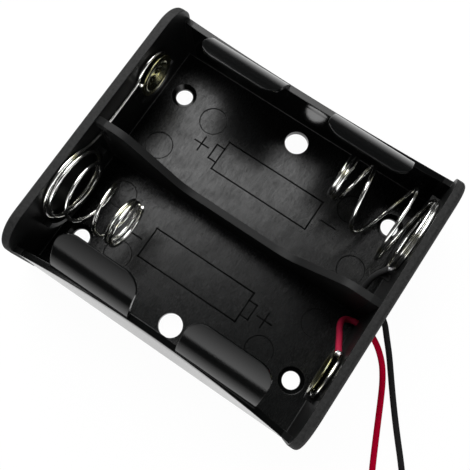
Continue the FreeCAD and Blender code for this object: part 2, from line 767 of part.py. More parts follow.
def stored_coil(name, points, side, turns):
    """The coil of the hidden length, its tinned end and its band; side 1 winds to the left."""
    lead = value("lead_diameter")
    radius = value("coil_diameter / 2")
    heading = (points[-1] - points[-2]).normalize()
    left = Vector(-heading.y, heading.x, 0) * side
    entry = points[-1] + heading * 2 * lead
    centre = entry + left * radius
    centre.z = value("coil_bundle / 2 + tie_thickness + wire_clearance")
    ring = Part.makeTorus(radius, value("coil_bundle / 2"), centre)
    leave_turn = math.radians(side * 360 * turns)
    spoke = entry - centre
    spoke = Vector(
        spoke.x * math.cos(leave_turn) - spoke.y * math.sin(leave_turn),
        spoke.x * math.sin(leave_turn) + spoke.y * math.cos(leave_turn),
        0,
    )
    leave = Vector(centre.x + spoke.x, centre.y + spoke.y, points[-1].z)
    away = Vector(-spoke.y, spoke.x, 0).normalize() * side
    insulation_end = leave + away * 3 * lead
    stubs = [
        cylinder_between(points[-1], entry, lead),
        cylinder_between(leave, insulation_end, lead),
    ]
    part_from(f"{name}_coil", ring.fuse(stubs).removeSplitter())
    tip_end = insulation_end + away * value("lead_core_length")
    part_from(f"{name}_tip", cylinder_between(insulation_end, tip_end, value("lead_core")))
    band = Part.makeTorus(radius, value("coil_bundle / 2 + tie_thickness"), centre,
                          Vector(0, 0, 1), 0, 360, value("tie_angle"))
    opposite = math.degrees(math.atan2(-spoke.y, -spoke.x)) - value("tie_angle / 2")
    band.rotate(centre, Vector(0, 0, 1), opposite)
    part_from(f"{name}_tie", band.cut(ring))


def lead(name, start, side, bows, outer_rows, turns):
    """One lead: inside the holder, free along the surface, and its stored coil."""
    diameter = value("lead_diameter")
    plate = value("body_length / 2")
    inner = inside_route(start, side, bows)
    outer = [Vector(plate + along, across, up) for along, across, up in outer_rows]
    part_from(f"{name}_lead_inside", tube_shape(inner, diameter, f"{name}_lead_inside"))
    part_from(f"{name}_lead", tube_shape(outer, diameter, f"{name}_lead"))
    stored_coil(name, outer, side, turns)


def solder(name, centre, carriers):
    """A drop of solder round the start of a lead and the contact that it joins."""
    drop = document.addObject("Part::Sphere", f"{name}_drop")
    bind(drop, Radius="solder_diameter / 2")
    drop.Placement.Base = centre
    held = document.addObject("Part::MultiFuse", f"{name}_held")
    held.Shapes = carriers
    joint = document.addObject("Part::Cut", f"{name}_solder")
    joint.Label = f"{name}_solder"
    joint.Base = drop
    joint.Tool = held
    return joint


holder_body()
button("left_button", -1, "button_across")
button("right_button", 1, "-button_across")
bridge_spring()
negative_spring()
positive_ring()
red_start = Vector(
    value(f"{WIRE_X} - (wire_diameter + wire_clearance) / 2"),
    value("button_ring / 2 - button_across"),
    value("button_height"),
)
black_start = Vector(
    value(f"{WIRE_X} - wire_diameter * 0.8"),
    value("negative_base_across - negative_base / 2"),
    value("negative_base_height + wire_diameter * 1.75"),
)
lead("red", red_start, -1, RED_BOWS, RED_POINTS, 2.25)
lead("black", black_start, 1, BLACK_BOWS, BLACK_POINTS, 2.25)
solder("red", red_start, [document.positive_ring, document.red_lead_inside])
solder("black", black_start, [document.negative_spring, document.black_lead_inside])
document.recompute()

NODES = [
    "holder_body", "left_button", "right_button", "bridge_spring", "negative_spring",
    "positive_ring", "red_lead_inside", "black_lead_inside", "red_solder", "black_solder",
    "red_lead", "red_coil", "red_tip", "red_tie",
    "black_lead", "black_coil", "black_tip", "black_tie",
]

for item in document.Objects:
    if "Invalid" in item.State or "Error" in item.State:
        raise RuntimeError(f"{item.Label} failed: {item.State}")

os.makedirs("parts", exist_ok=True)
for name in NODES:
    shape = document.getObjectsByLabel(name)[0].Shape
    if shape.isNull() or not shape.isValid():
        raise RuntimeError(f"{name} has no valid shape")
    box = shape.BoundBox
    print(f"{name}: {len(shape.Solids)} solid, volume {shape.Volume:.1f}, "
          f"x {box.XMin:.2f} to {box.XMax:.2f}, y {box.YMin:.2f} to {box.YMax:.2f}, "
          f"z {box.ZMin:.2f} to {box.ZMax:.2f}")
    shape.exportStep(f"parts/{name}.step")
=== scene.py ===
import itertools
import math
import random

import bmesh
import bpy
from mathutils import Matrix, Vector, noise


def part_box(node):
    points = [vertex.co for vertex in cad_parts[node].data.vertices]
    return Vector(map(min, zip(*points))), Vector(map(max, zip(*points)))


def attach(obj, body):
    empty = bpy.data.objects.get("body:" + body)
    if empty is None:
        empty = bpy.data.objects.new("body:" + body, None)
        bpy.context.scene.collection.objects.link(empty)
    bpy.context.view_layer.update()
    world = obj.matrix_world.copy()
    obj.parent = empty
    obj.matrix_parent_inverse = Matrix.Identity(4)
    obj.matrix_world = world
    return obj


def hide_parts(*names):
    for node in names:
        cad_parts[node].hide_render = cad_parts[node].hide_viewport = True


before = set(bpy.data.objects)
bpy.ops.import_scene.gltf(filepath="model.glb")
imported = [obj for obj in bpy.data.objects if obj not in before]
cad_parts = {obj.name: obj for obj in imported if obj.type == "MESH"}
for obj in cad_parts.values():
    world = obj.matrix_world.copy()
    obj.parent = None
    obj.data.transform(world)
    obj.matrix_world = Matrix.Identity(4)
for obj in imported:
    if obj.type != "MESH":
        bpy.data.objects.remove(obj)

bl_info = {
    "name": "Round cell holder",
    "version": (1, 0, 0),
    "blender": (4, 5, 0),
    "location": "3D View > Sidebar > Cell holder",
    "description": "Moulded plastic, contact wire, buttons, solder, leads and studio of a cell holder",
    "category": "Object",
}

MM = 0.001
PLATE_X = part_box("holder_body")[1].x
BUTTON_LOW, BUTTON_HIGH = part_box("right_button")
BUTTON_ACROSS = (BUTTON_LOW.y + BUTTON_HIGH.y) / 2
BUTTON_HEIGHT = (BUTTON_LOW.z + BUTTON_HIGH.z) / 2
BRIDGE_LOW, BRIDGE_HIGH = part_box("bridge_spring")
NEGATIVE_LOW, NEGATIVE_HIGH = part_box("negative_spring")
FLOOR_TOP = 1.6 * MM
RIM_WIDTH = 2.15 * MM

# The outline of a cell on the floor of each bay, in millimetres: left, right, low and high edge,
# and then the far, low and high edge of its cap.
CELL_OUTLINES = [
    ((-12.3, 12.1, 8.8, 16.0), (-14.3, 10.5, 14.1)),
    ((-14.3, 10.7, -16.0, -8.8), (12.7, -14.2, -10.6)),
]
# The signs beside the outlines, in millimetres: the middle, and whether it is a plus.
SIGNS = [
    ((-17.3, 12.35), True), ((15.75, 12.4), False), ((15.7, -12.4), True), ((-17.4, -12.6), False),
]
SIGN_REACH = 1.7
# The marks of the ejector pins in one quarter of the floor, in millimetres from the middle.
PIN_SPOTS = [(24.9, 6.8), (18.1, 18.1)]

# Route of each lead outside: along from the end plate, across, and up, in metres.
RED_ROUTE = [
    (0.0000, -0.0024, 0.0042),
    (0.0024, -0.0030, 0.0039),
    (0.0062, -0.0057, 0.0022),
    (0.0084, -0.0084, 0.0008),
    (0.0099, -0.0113, 0.0007),
    (0.0124, -0.0169, 0.0007),
    (0.0156, -0.0240, 0.0007),
    (0.0185, -0.0299, 0.0007),
    (0.0203, -0.0339, 0.0007),
]
BLACK_ROUTE = [
    (0.0000, 0.0024, 0.0042),
    (0.0022, 0.0012, 0.0039),
    (0.0045, -0.0012, 0.0026),
    (0.0069, -0.0036, 0.0012),
    (0.0088, -0.0060, 0.0007),
    (0.0126, -0.0112, 0.0007),
    (0.0165, -0.0162, 0.0007),
    (0.0204, -0.0209, 0.0007),
    (0.0240, -0.0257, 0.0007),
    (0.0268, -0.0290, 0.0007),
]

# Half a turn a row, as the springs are bent: share of the way from base to tip, and share of
# the closing in from the base's radius to the tip's. The starts are angles in degrees.
HALF_TURN = 180
BRIDGE_START = 171
NEGATIVE_START = 165
BRIDGE_HALF_TURNS = [
    (0.0, 0.0), (0.06, 0.06), (0.062, 0.24), (0.17, 0.52), (0.275, 0.67), (0.54, 0.8),
    (0.705, 0.95), (0.88, 1.0), (0.886, 1.0), (0.94, 1.0), (0.967, 1.0), (1.0, 1.0),
]
NEGATIVE_HALF_TURNS = [
    (0.0, 0.0), (0.003, 0.0), (0.05, 0.0), (0.053, 0.03), (0.239, 0.08), (0.287, 0.22),
    (0.635, 0.38), (0.79, 0.73), (0.944, 1.0), (0.948, 1.0), (0.997, 1.0), (1.0, 1.0),
]
# Where the ring behind each button begins, in degrees.
LEFT_RING_START = 150
RIGHT_RING_START = 5

# Bows of the leads inside the holder: share of the way from the solder joint to the lead hole,
# and distance off the end plate in millimetres.
RED_BOWS = [(0.18, 0.3), (0.44, 0.5), (0.78, 1.05)]
BLACK_BOWS = [(0.22, 1.1), (0.7, 0.9)]
STORED_TURNS = 2.25

# Where the photograph was taken from, and the lamps: the middle, then width and depth, in metres.
SENSOR_MM = 36
CAMERA_SPOT = Vector((0.017933, -0.025802, 0.144821))
CAMERA_RIGHT = Vector((0.82873, 0.55963, -0.00336))
CAMERA_UP = Vector((-0.54665, 0.81077, 0.20932))
KEY_LAMP = ((-0.205, 0.240, 0.318), 0.54, 0.45)
SIDE_LAMP = ((0.34, -0.25, 0.24), 0.20, 0.20)
SIDE_SHARE = 0.05


def size(name, description, default):
    return bpy.props.FloatProperty(
        name=name, description=description, default=default, unit="LENGTH", precision=5
    )


def share(name, description, default):
    return bpy.props.FloatProperty(
        name=name, description=description, default=default, min=0, max=1, subtype="FACTOR"
    )


def colour(name, description, default):
    return bpy.props.FloatVectorProperty(
        name=name, description=description, default=default, size=4, min=0, max=1, subtype="COLOR"
    )


class ShellSettings(bpy.types.PropertyGroup):
    """Moulded shell and the marks on its floor."""

    plastic: colour("Plastic", "Colour of the moulded plastic", (0.0022, 0.0024, 0.0024, 1))
    floor_plastic: colour("Floor", "Colour of the satin floor", (0.0030, 0.0033, 0.0033, 1))
    wall_roughness: share("Wall roughness", "Polish of the walls and tabs", 0.13)
    floor_roughness: share("Floor roughness", "Satin of the floor", 0.26)
    rim_plastic: colour("Rims", "Colour of the matt end plates", (0.024, 0.024, 0.024, 1))
    rim_roughness: share("Rim roughness", "Matt of the end plates' rims", 0.68)
    pin: size("Pin", "Diameter of an ejector pin's mark", 6.1 * MM)
    cradle: size("Cradle", "Depth of the satin ribs that hold the contacts", 1.9 * MM)
    divider: size("Divider", "Width of the satin divider", 1.6 * MM)
    edge_round: size("Edge round", "Round that light picks up on each edge", 0.22 * MM)
    line_width: size("Line width", "Width of the lines on the floor", 0.42 * MM)
    line_rise: size("Line rise", "How far the lines stand on the floor", 0.02 * MM)
    seam: size("Seam", "Bead where the floor meets the walls and end plates", 0.26 * MM)
    wall_foot: size("Wall foot", "Inner foot of the side walls, from the middle", 28.61 * MM)
    plate_foot: size("Plate foot", "Inner face of the end plates, from the middle", 31.8 * MM)
    line_colour: colour("Lines", "Colour of the lines on the floor", (0.001, 0.001, 0.001, 1))


class WireSettings(bpy.types.PropertyGroup):
    """Contact wire of the springs, the bridge and the rings."""

    thickness: size("Wire", "Diameter of the contact wire", 0.8 * MM)
    clearance: size("Clearance", "Between turns that lie together", 0.05 * MM)
    bridge_base_y: size("Bridge base across", "Base of the lower spring", -12.2 * MM)
    bridge_base_z: size("Bridge base height", "Base of the lower spring", 13.6 * MM)
    bridge_base: size("Bridge base ring", "Diameter at the wire's middle", 16.2 * MM)
    bridge_tip_y: size("Bridge tip across", "Tip of the lower spring", -13.3 * MM)
    bridge_tip_z: size("Bridge tip height", "Tip of the lower spring", 15.1 * MM)
    bridge_tip: size("Bridge tip ring", "Diameter at the wire's middle", 9.7 * MM)
    bridge_height: size("Bridge height", "Wire where it passes the divider", 16.6 * MM)
    bridge_crossing: size("Bridge bend", "Where the bridge starts, across", -3.0 * MM)
    negative_base_y: size("Upper base across", "Base of the upper spring", 16.6 * MM)
    negative_base_z: size("Upper base height", "Base of the upper spring", 12.8 * MM)
    negative_base: size("Upper base ring", "Diameter at the wire's middle", 16.4 * MM)
    negative_tip_y: size("Upper tip across", "Tip of the upper spring", 18.7 * MM)
    negative_tip_z: size("Upper tip height", "Tip of the upper spring", 15.5 * MM)
    negative_tip: size("Upper tip ring", "Diameter at the wire's middle", 9.0 * MM)
    metal: colour("Metal", "Nickel plated steel", (0.90, 0.90, 0.88, 1))
    tarnish: colour("Tarnish", "Warmer patches of the plating", (0.72, 0.68, 0.36, 1))
    roughness: share("Roughness", "Polish of the wire", 0.13)


class ButtonSettings(bpy.types.PropertyGroup):
    """Pressed buttons that meet the cells' caps, and the rings round them."""

    ring: size("Ring", "Ring behind a button, at the wire's middle", 9.1 * MM)
    well: size("Well", "Diameter of the sunk flat middle", 5.4 * MM)
    well_depth: size("Well depth", "How far the middle lies behind the rim", 0.85 * MM)
    sheet: size("Sheet", "Thickness of the pressed sheet", 0.35 * MM)
    rings: size("Rings", "Height of the punched rings in the middle", 0.35 * MM)
    metal: colour("Metal", "Nickelled brass", (0.27, 0.28, 0.20, 1))


class LeadSettings(bpy.types.PropertyGroup):
    """The two leads, their solder joints, tinned ends and stored coils."""

    thickness: size("Lead", "Diameter over the insulation", 1.3 * MM)
    core: size("Core", "Diameter of the tinned strands", 0.7 * MM)
    core_length: size("Bare end", "Length of the bare tinned end", 4.0 * MM)
    hole_across: size("Holes", "Lead holes from the middle", 2.4 * MM)
    hole_height: size("Hole height", "Middle of the lead holes", 4.2 * MM)
    solder: size("Solder", "Diameter of a solder joint", 1.7 * MM)
    coil: size("Coil", "Diameter at the middle of the stored turns", 14.0 * MM)
    tie: size("Tie", "Thickness of the band round a coil", 0.25 * MM)
    red_length: size("Red length", "Red lead from the end plate to its end", 0.1435)
    black_length: size("Black length", "Black lead from the end plate to its end", 0.1463)
    red: colour("Red", "Insulation of the positive lead", (0.38, 0.0004, 0.019, 1))
    black: colour("Black", "Insulation of the negative lead", (0.015, 0.015, 0.0153, 1))


class StudioSettings(bpy.types.PropertyGroup):
    """Camera, lamps and backdrop."""

    lens: bpy.props.FloatProperty(
        name="Lens", description="Focal length on a 36 mm sensor", default=52.28, unit="CAMERA"
    )
    fill: bpy.props.FloatProperty(
        name="Fill", description="Strength of the surroundings near the floor", default=3.2
    )
    overhead: share("Overhead", "Strength of the surroundings straight above", 0.03)
    key: bpy.props.FloatProperty(
        name="Key", description="Power of the main lamp", default=4.0, unit="POWER"
    )
    backdrop: colour("Backdrop", "Floor and surroundings", (0.95, 0.95, 0.95, 1))
    glow: share("Glow", "How far the backdrop hides the shadow", 0.97)
    table: size("Table", "How far from the middle the holder mirrors the backdrop", 95 * MM)


GROUPS = {
    "holder_shell": ShellSettings,
    "holder_wire": WireSettings,
    "holder_buttons": ButtonSettings,
    "holder_leads": LeadSettings,
    "holder_studio": StudioSettings,
}


class Value:
    """One output of a shader node; arithmetic on it adds Math nodes."""

    def __init__(self, finish, socket):
        self.finish = finish
        self.socket = socket

    def maths(self, operation, *values):
        return self.finish.node(
            "ShaderNodeMath", {"operation": operation}, dict(enumerate(values))
        )

    def __add__(self, other):
        return self.maths("ADD", self, other)

    __radd__ = __add__

    def __sub__(self, other):
        return self.maths("SUBTRACT", self, other)

    def __rsub__(self, other):
        return self.maths("SUBTRACT", other, self)

    def __mul__(self, other):
        return self.maths("MULTIPLY", self, other)

    __rmul__ = __mul__

    def __truediv__(self, other):
        return self.maths("DIVIDE", self, other)

    def __lt__(self, other):
        return self.maths("LESS_THAN", self, other)

    def __gt__(self, other):
        return self.maths("GREATER_THAN", self, other)

    def distance(self):
        """The value without its sign."""
        return self.maths("ABSOLUTE", self)

    def held(self):
        """The value held between 0 and 1."""
        return self.maths("MINIMUM", self.maths("MAXIMUM", self, 0), 1)


class Finish:
    """The node tree of one material or of the surroundings."""

    def __init__(self, owner):
        owner.use_nodes = True
        self.owner = owner
        self.tree = owner.node_tree
        self.tree.nodes.clear()

    def node(self, kind, settings, sockets, output=0):
        """Add a node: its settings first, then the values or links of its sockets."""
        made = self.tree.nodes.new(kind)
        for key, setting in settings.items():
            if key == "stops":
                self.set_stops(made.color_ramp.elements, setting)
            else:
                setattr(made, key, setting)
        for key, given in sockets.items():
            if isinstance(given, Value):
                self.tree.links.new(given.socket, made.inputs[key])
            else:
                made.inputs[key].default_value = given
        return Value(self, made.outputs[output]) if made.outputs else made

    def set_stops(self, elements, stops):
        while len(elements) < len(stops):
            elements.new(1)
        for element, (position, level) in zip(elements, stops):
            element.position = position
            element.color = (level, level, level, 1)

    def place(self):
        """Where a point of the surface is, in metres."""
        return self.node("ShaderNodeTexCoord", {}, {}, "Object")

    def stretched(self, vector, scale):
        """A vector with each of its parts multiplied."""
        return self.node(
            "ShaderNodeVectorMath", {"operation": "MULTIPLY"}, {0: vector, 1: scale}
        )

    def part(self, vector, axis):
        return self.node("ShaderNodeSeparateXYZ", {}, {0: vector}, axis)

    def cloud(self, vector, grain, detail=2.0, roughness=0.5):
        """Noise whose patches are about as large as grain."""
        return self.node("ShaderNodeTexNoise", {}, {
            "Vector": vector, "Scale": 1 / grain, "Detail": detail, "Roughness": roughness,
        })

    def ramp(self, value, stops):
        """A grey level read off stops, each a value and its level."""
        return self.node("ShaderNodeValToRGB", {"stops": stops}, {0: value})

    def blend(self, factor, first, second):
        """A colour between two colours."""
        settings = {"data_type": "RGBA", "clamp_factor": True}
        return self.node("ShaderNodeMix", settings, {0: factor, 6: first, 7: second}, 2)

    def bump(self, height, depth, normal=None):
        """The normal of a surface with a relief of this depth."""
        sockets = {"Strength": 1.0, "Distance": depth, "Height": height}
        if normal is not None:
            sockets["Normal"] = normal
        return self.node("ShaderNodeBump", {}, sockets)

    def rounded(self, radius):
        """The normal with each edge rounded off."""
        return self.node("ShaderNodeBevel", {"samples": 6}, {"Radius": radius})

    def surface(self, sockets):
        """Close the tree with the main shader, and give back its material."""
        shader = self.node("ShaderNodeBsdfPrincipled", {}, sockets)
        self.node("ShaderNodeOutputMaterial", {}, {"Surface": shader})
        return self.owner


def shell_plastic(looks):
    """Black moulded plastic: polished walls, matt rims with a painted highlight along their outer edge,
    and a satin floor with fine lines across.
    """
    finish = Finish(bpy.data.materials.new("holder_plastic"))
    place = finish.place()
    height = finish.part(place, "Z")
    upward = finish.part(finish.node("ShaderNodeTexCoord", {}, {}, "Normal"), "Z")
    floor = (height < FLOOR_TOP + 0.2 * MM) * (upward > 0.9)
    outward = finish.part(place, "X").distance()
    rim = outward > PLATE_X - RIM_WIDTH
    # Painted highlight: the rims' base colour turns lighter over the outer 0.7 mm, toward the outer
    # edge.
    highlight_band = 0.7 * MM
    edge = ((outward - PLATE_X + highlight_band) / highlight_band).held()
    cradle = outward > PLATE_X - RIM_WIDTH - looks.cradle
    divider = finish.part(place, "Y").distance() < looks.divider / 2
    fine = finish.cloud(place, 0.22 * MM, detail=3)
    pits = finish.cloud(place, 0.6 * MM, detail=3, roughness=0.7)
    streaks = finish.cloud(finish.stretched(place, (3.2, 0.6, 1)), 0.5 * MM, detail=4, roughness=0.7)
    patches = finish.cloud(place, 9 * MM, detail=3)
    grain = finish.cloud(finish.stretched(place, (1, 0.3, 1)), 0.7 * MM, detail=4, roughness=0.75)
    blotches = finish.cloud(place, 3.5 * MM, detail=3, roughness=0.6)
    tone = (floor * (0.35 + streaks * 0.9)).held()
    base = finish.blend(tone, tuple(looks.plastic), tuple(looks.floor_plastic))
    # The pits give the rims real speckle; the edge term added to them is the painted highlight.
    speck = (pits - 0.25) * 1.6 + edge
    base = finish.blend((rim * speck).held(), base, tuple(looks.rim_plastic))
    satin_ribs = divider * 1.4 + cradle
    polish = looks.wall_roughness + (patches - 0.5) * 0.06 + satin_ribs * 0.3
    polish = polish + rim * (looks.rim_roughness - polish)
    rough = polish + floor * (looks.floor_roughness + (streaks - 0.5) * 0.3 - polish)
    relief = fine * 0.5 + (fine * 2 + pits * 9) * rim + (streaks * 0.9 + blotches * 3) * floor
    return finish.surface({
        "Base Color": base,
        "Roughness": rough.held(),
        "Normal": finish.bump(relief, 0.012 * MM, finish.rounded(looks.edge_round)),
        "Specular IOR Level": 0.25,
        "Coat Weight": (floor * ((grain - 0.3) * 2.0 + blotches - 0.5)).held(),
        "Coat Roughness": 0.24,
        "Coat IOR": 1.36,
    })


def line_finish(looks):
    """The dark lines on the floor."""
    finish = Finish(bpy.data.materials.new("floor_lines"))
    speck = finish.cloud(finish.place(), 0.3 * MM)
    return finish.surface({
        "Base Color": finish.blend(speck, tuple(looks.line_colour), (0.004, 0.004, 0.004, 1)),
        "Roughness": 0.6 + speck * 0.2,
        "Specular IOR Level": 0.03,
    })


def seam_highlight_finish():
    """The bead round the floor, painted greyer than the plastic in patches: a painted highlight along
    the junction.
    """
    finish = Finish(bpy.data.materials.new("floor_seam_highlight"))
    highlight_patches = finish.cloud(finish.place(), 2 * MM, detail=3)
    return finish.surface({
        "Base Color": finish.blend(highlight_patches, (0.03, 0.03, 0.03, 1), (0.10, 0.10, 0.10, 1)),
        "Roughness": 0.35 + highlight_patches * 0.2,
    })


def wire_metal(looks):
    """Nickel plated spring steel with drawing lines and warmer patches."""
    finish = Finish(bpy.data.materials.new("contact_wire"))
    place = finish.place()
    patches = finish.cloud(place, 3 * MM, detail=3)
    drawn = finish.cloud(place, 0.12 * MM, detail=2)
    warm = finish.ramp(patches, [(0.52, 0), (0.70, 0.7)])
    return finish.surface({
        "Base Color": finish.blend(warm, tuple(looks.metal), tuple(looks.tarnish)),
        "Metallic": 1.0,
        "Roughness": looks.roughness + (drawn - 0.5) * 0.1 + patches * 0.05,
        "Normal": finish.bump(drawn, 0.003 * MM),
    })


def button_metal(looks):
    """Nickelled brass, with patches where the brass shows through."""
    finish = Finish(bpy.data.materials.new("button_nickel"))
    place = finish.place()
    patches = finish.cloud(place, 2 * MM, detail=4)
    fine = finish.cloud(place, 0.15 * MM, detail=2)
    brassy = finish.ramp(patches, [(0.4, 0), (0.7, 1)])
    return finish.surface({
        "Base Color": finish.blend(brassy, tuple(looks.metal), (0.42, 0.38, 0.15, 1)),
        "Metallic": 1.0,
        "Roughness": 0.16 + fine * 0.1 + patches * 0.06,
        "Normal": finish.bump(fine, 0.004 * MM),
    })


def solder_metal():
    """Bright solder with a slightly grainy skin."""
    finish = Finish(bpy.data.materials.new("solder"))
    grain = finish.cloud(finish.place(), 0.25 * MM, detail=3)
    return finish.surface({
        "Base Color": finish.blend(grain, (0.30, 0.30, 0.31, 1), (0.45, 0.45, 0.45, 1)),
        "Metallic": 1.0,
        "Roughness": 0.35 + grain * 0.2,
        "Normal": finish.bump(grain, 0.02 * MM),
    })


def insulation(name, colour_now):
    """Soft plastic insulation, with a faint extruded unevenness."""
    finish = Finish(bpy.data.materials.new(name))
    place = finish.place()
    waves = finish.cloud(place, 2.5 * MM, detail=2)
    skin = finish.cloud(place, 0.2 * MM, detail=2)
    darker = tuple(channel * 0.75 for channel in colour_now[:3]) + (1,)
    return finish.surface({
        "Base Color": finish.blend(waves, tuple(colour_now), darker),
        "Roughness": 0.48 + skin * 0.14,
        "Normal": finish.bump(skin + waves * 2, 0.006 * MM),
        "Specular IOR Level": 0.01,
    })


def tinned_metal():
    """Tinned copper strands; copper shows faintly between them."""
    finish = Finish(bpy.data.materials.new("tinned_copper"))
    patches = finish.cloud(finish.place(), 0.4 * MM, detail=3)
    copper = finish.ramp(patches, [(0.62, 0), (0.8, 1)])
    return finish.surface({
        "Base Color": finish.blend(copper, (0.74, 0.73, 0.70, 1), (0.62, 0.40, 0.26, 1)),
        "Metallic": 1.0,
        "Roughness": 0.26 + patches * 0.12,
    })


def tie_plastic():
    """Soft vinyl of the band round a stored coil."""
    finish = Finish(bpy.data.materials.new("tie"))
    ribs = finish.cloud(finish.stretched(finish.place(), (1, 1, 6)), 0.8 * MM, detail=2)
    return finish.surface({
        "Base Color": finish.blend(ribs, (0.03, 0.03, 0.032, 1), (0.06, 0.06, 0.06, 1)),
        "Roughness": 0.4 + ribs * 0.15,
        "Normal": finish.bump(ribs, 0.03 * MM),
    })


def new_piece(name, shape, material, replaced=()):
    """Turn a bmesh into a piece that rides on the frame."""
    mesh = bpy.data.meshes.new(name)
    shape.to_mesh(mesh)
    shape.free()
    for face in mesh.polygons:
        face.use_smooth = True
    piece = bpy.data.objects.new(name, mesh)
    bpy.context.scene.collection.objects.link(piece)
    piece.data.materials.append(material)
    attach(piece, "root")
    if replaced:
        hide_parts(*replaced)
    return piece


def dress(node, material):
    """Give a CAD node's object its material."""
    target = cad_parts[node]
    target.data.materials.clear()
    target.data.materials.append(material)


def tube(shape, points, radius, sides=14):
    """Add a closed round wire along the points, with slightly rounded ends."""
    overhang = radius * 0.12
    end_girth = 0.82
    tangents = []
    for index, point in enumerate(points):
        before = points[max(index - 1, 0)]
        after = points[min(index + 1, len(points) - 1)]
        tangents.append((after - before).normalized())
    across = tangents[0].orthogonal().normalized()
    stations = [(points[0] - tangents[0] * overhang, tangents[0], end_girth)]
    stations += [(point, tangent, 1.0) for point, tangent in zip(points, tangents)]
    stations.append((points[-1] + tangents[-1] * overhang, tangents[-1], end_girth))
    rings = []
    for point, tangent, girth in stations:
        across = (across - tangent * across.dot(tangent)).normalized()
        beside = tangent.cross(across)
        ring = []
        for step in range(sides):
            turn = 2 * math.pi * step / sides
            reach = radius * girth
            offset = across * math.cos(turn) * reach + beside * math.sin(turn) * reach
            ring.append(shape.verts.new(point + offset))
        rings.append(ring)
    for first, second in zip(rings, rings[1:]):
        for step in range(sides):
            following = (step + 1) % sides
            shape.faces.new((first[step], first[following], second[following], second[step]))
    shape.faces.new(list(reversed(rings[0])))
    shape.faces.new(rings[-1])
    return shape


def eased(before, start, end, after, along):
    """A smooth curve from start to end whose slope fits the neighbours."""
    squared = along * along
    cubed = squared * along
    return 0.5 * (
        2 * start
        + (end - before) * along
        + (2 * before - 5 * start + 4 * end - after) * squared
        + (3 * start - before - 3 * end + after) * cubed
    )


def coil_line(first_angle, turn, shares, base, tip, steps=18):
    """Points round a conical coil. Base and tip are the middle of a ring and its radius."""
    rows = [(first_angle + turn * index, *row) for index, row in enumerate(shares)]
    points = []
    for index in range(len(rows) - 1):
        around = [rows[max(index - 1, 0)], rows[index], rows[index + 1]]
        around.append(rows[min(index + 2, len(rows) - 1)])
        for step in range(steps):
            along = step / steps
            angle = rows[index][0] + turn * along
            way = eased(*[row[1] for row in around], along)
            closing = eased(*[row[2] for row in around], along)
            points.append(coil_point(angle, way, closing, base, tip))
    points.append(coil_point(rows[-1][0], rows[-1][1], rows[-1][2], base, tip))
    return points


def coil_point(angle, way, closing, base, tip):
    """One point of a conical coil, at its share of the way and of the closing in."""
    middle = base[0].lerp(tip[0], way)
    radius = base[1] + (tip[1] - base[1]) * closing
    turn = math.radians(angle)
    return middle + Vector((0, radius * math.cos(turn), radius * math.sin(turn)))


def ring_line(first_angle, last_angle, middle, radius, advance, steps=36):
    """Points round a plain ring that moves along by advance."""
    count = max(2, round(abs(last_angle - first_angle) / 360 * steps))
    points = []
    for index in range(count + 1):
        along = index / count
        turn = math.radians(first_angle + (last_angle - first_angle) * along)
        offset = Vector((advance * along, radius * math.cos(turn), radius * math.sin(turn)))
        points.append(middle + offset)
    return points


def softened(points, passes):
    """Round the corners of a line of points by cutting them again and again."""
    for _ in range(passes):
        cut = [points[0]]
        for first, second in zip(points, points[1:]):
            cut.append(first.lerp(second, 0.25))
            cut.append(first.lerp(second, 0.75))
        cut.append(points[-1])
        points = cut
    return points


def bridge_wire_line(wire, buttons):
    """Spring of the lower bay, bridge past the divider, and ring of the upper bay."""
    back = BRIDGE_LOW.x + wire.thickness / 2
    tip_x = BRIDGE_HIGH.x - wire.thickness / 2
    base = (Vector((back, wire.bridge_base_y, wire.bridge_base_z)), wire.bridge_base / 2)
    tip = (Vector((tip_x, wire.bridge_tip_y, wire.bridge_tip_z)), wire.bridge_tip / 2)
    start = Vector((back, wire.bridge_crossing, wire.bridge_height))
    run = start - base[0]
    away = math.hypot(run.y, run.z)
    leave = math.degrees(math.atan2(run.z, run.y) + math.acos(base[1] / away))
    wound = coil_line(BRIDGE_START, HALF_TURN, BRIDGE_HALF_TURNS, base, tip)
    lead_in = ring_line(leave, BRIDGE_START, base[0], base[1], 0)[:-1]
    middle = Vector((back, -BUTTON_ACROSS, BUTTON_HEIGHT))
    pitch = wire.thickness + wire.clearance
    loops = ring_line(LEFT_RING_START, LEFT_RING_START - 360, middle, buttons.ring / 2, pitch)
    end = Vector((back, loops[0].y - 2 * wire.thickness, wire.bridge_height + wire.thickness / 4))
    straight = softened([lead_in[0], start, end, loops[0]], 3)[1:-1]
    return list(reversed(lead_in + wound)) + straight + loops


